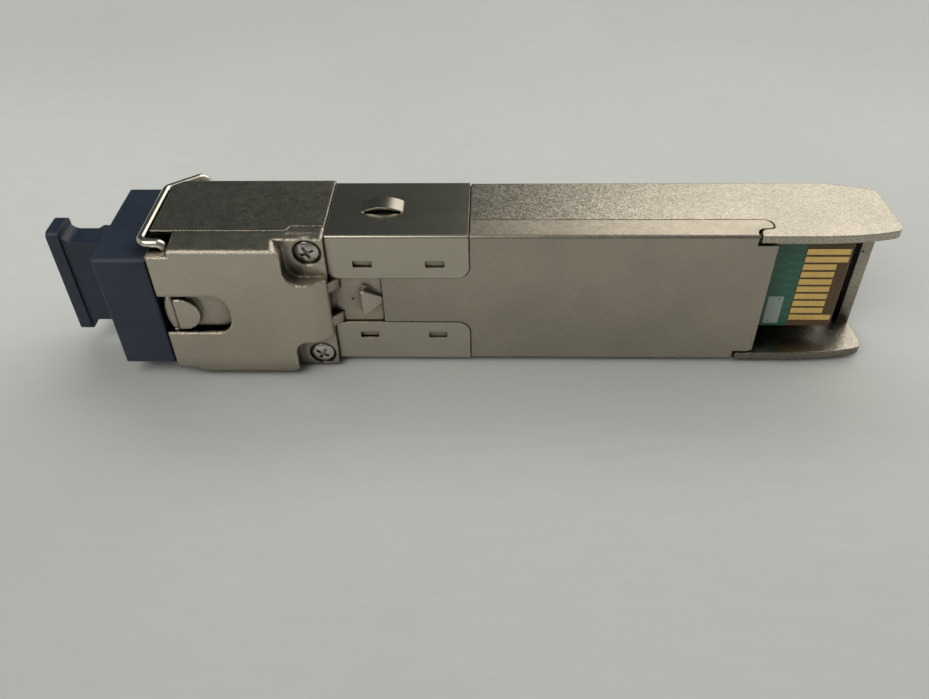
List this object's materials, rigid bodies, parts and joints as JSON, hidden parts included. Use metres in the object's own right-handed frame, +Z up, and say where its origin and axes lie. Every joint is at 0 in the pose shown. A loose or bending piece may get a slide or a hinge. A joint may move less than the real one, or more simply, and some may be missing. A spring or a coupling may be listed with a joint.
{
  "type": "optical transceiver module",
  "caption": "Pluggable optical transceiver with a square push-pull fibre port, bail latch, sprung collar, edge connector and a dust plug in the port.",
  "frame": {"origin": "the middle of the latch boss's square shoulder, on the plane of the body's bottom face", "axes": "+X runs along the module from the fibre port to the card edge; +Y runs from the bottom face to the top face; +Z is up as the module rests on its -Z side wall, and Z = 0 is the middle of the width"},
  "size_m": [0.0723, 0.0124, 0.0144],
  "materials": {
    "cast_shell": "nickel-plated zinc die casting with a fine blasted grain",
    "satin_cover": "smooth satin nickel plate, warm grey",
    "stainless_sheet": "rolled stainless sheet",
    "bright_steel": "bright nickel-plated steel",
    "plug_plastic": "matt blue-black moulding",
    "black_plastic": "matt black moulding",
    "hook_plastic": "natural glass-filled moulding",
    "sleeve_ceramic": "ground zirconia",
    "gold_plate": "thin gold plate over nickel",
    "flex_film": "polyimide film over copper",
    "board_mask": "glass-fibre board under green solder mask",
    "capacitor_ceramic": "fired ceramic chip",
    "soft_pad": "soft filled elastomer"
  },
  "bodies": {
    "module": {"main_housing": "cast_shell", "head_cover": "satin_cover", "bottom_cover": "satin_cover", "emi_collar": "stainless_sheet", "cover_screws": "bright_steel", "slider_spring": "stainless_sheet", "port_insert": "black_plastic", "latch_hook_clip": "hook_plastic", "sleeve_holder": "stainless_sheet", "split_sleeve": "sleeve_ceramic", "fibre_stub": "sleeve_ceramic", "optical_block": "cast_shell", "block_clamp": "stainless_sheet", "laser_can": "gold_plate", "detector_can": "gold_plate", "laser_flex": "flex_film", "detector_flex": "flex_film", "circuit_board": "board_mask", "bottom_contacts": "gold_plate", "top_contacts": "gold_plate", "laser_driver_chip": "black_plastic", "limiting_amp_chip": "black_plastic", "controller_chip": "black_plastic", "power_inductors": "black_plastic", "board_capacitors": "capacitor_ceramic", "thermal_pad": "soft_pad", "emi_gasket": "soft_pad"},
    "bail": {"bail_wire": "bright_steel"},
    "slider": {"delatch_slider": "satin_cover"},
    "plug": {"dust_plug": "plug_plastic"}
  },
  "joints": [
    {"name": "bail_swing", "type": "hinge", "parent": "module", "child": "bail", "pos_m": [-0.0157, -0.00075, 0], "axis": [0, 0, 1], "range_deg": [0, 80]},
    {"name": "slider_slide", "type": "slide", "parent": "module", "child": "slider", "axis": [1, 0, 0], "range_m": [0, 0.0012], "deforming": ["slider_spring"]},
    {"name": "plug_pull", "type": "slide", "parent": "module", "child": "plug", "axis": [-1, 0, 0], "range_m": [0, 0.032]}
  ],
  "couplings": [
    {"joint": "bail_swing", "follows": "plug_pull", "rad_per_m": 43.63},
    {"joint": "slider_slide", "follows": "plug_pull", "ratio": 0.03616}
  ]
}
